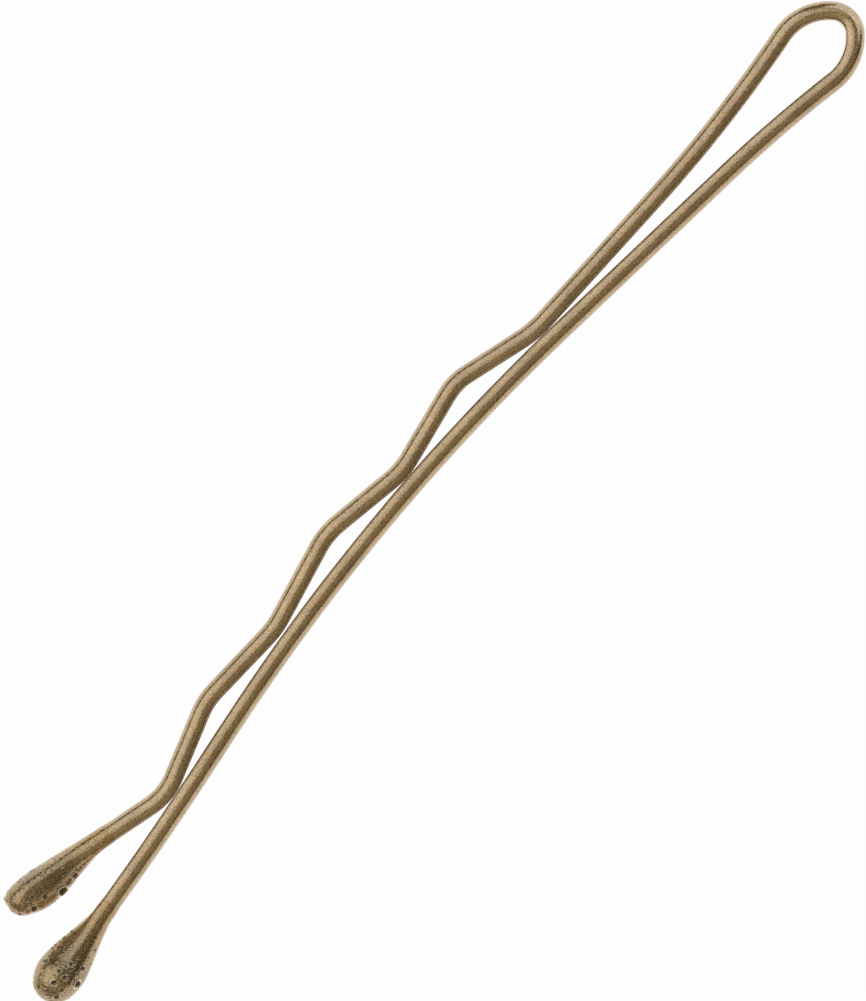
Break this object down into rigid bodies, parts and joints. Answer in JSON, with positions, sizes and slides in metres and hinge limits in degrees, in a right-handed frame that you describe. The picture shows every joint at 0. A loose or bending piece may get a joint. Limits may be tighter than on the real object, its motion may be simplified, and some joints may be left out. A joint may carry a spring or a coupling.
{
  "type": "bobby pin",
  "caption": "Bobby pin of bronze-lacquered spring wire: a plain bowed leg and a crimped leg joined by a sprung loop, with dipped bead tips, for gripping hair between the legs.",
  "frame": {"origin": "centre of the loop's eye, half way up the wire", "axes": "+X along the pin towards the loop's nose, +Y across it towards the crimped leg, +Z out of the plane of the pin"},
  "size_m": [0.0511, 0.0052, 0.002],
  "materials": {
    "wire": "satin antique-bronze metallic lacquer on spring steel",
    "tip": "dipped resin under the same bronze lacquer, pitted"
  },
  "bodies": {
    "straight_side": {"straight_leg": "wire", "straight_leg_tip": "tip", "spring_loop": "wire"},
    "crimped_side": {"crimped_leg": "wire", "crimped_leg_tip": "tip"}
  },
  "joints": [
    {"name": "leg_spread", "type": "hinge", "parent": "straight_side", "child": "crimped_side", "pos_m": [0, 0, 0], "axis": [0, 0, -1], "range_deg": [0, 12], "stiffness_Nm_per_rad": 0.11, "deforming": ["spring_loop"]}
  ]
}
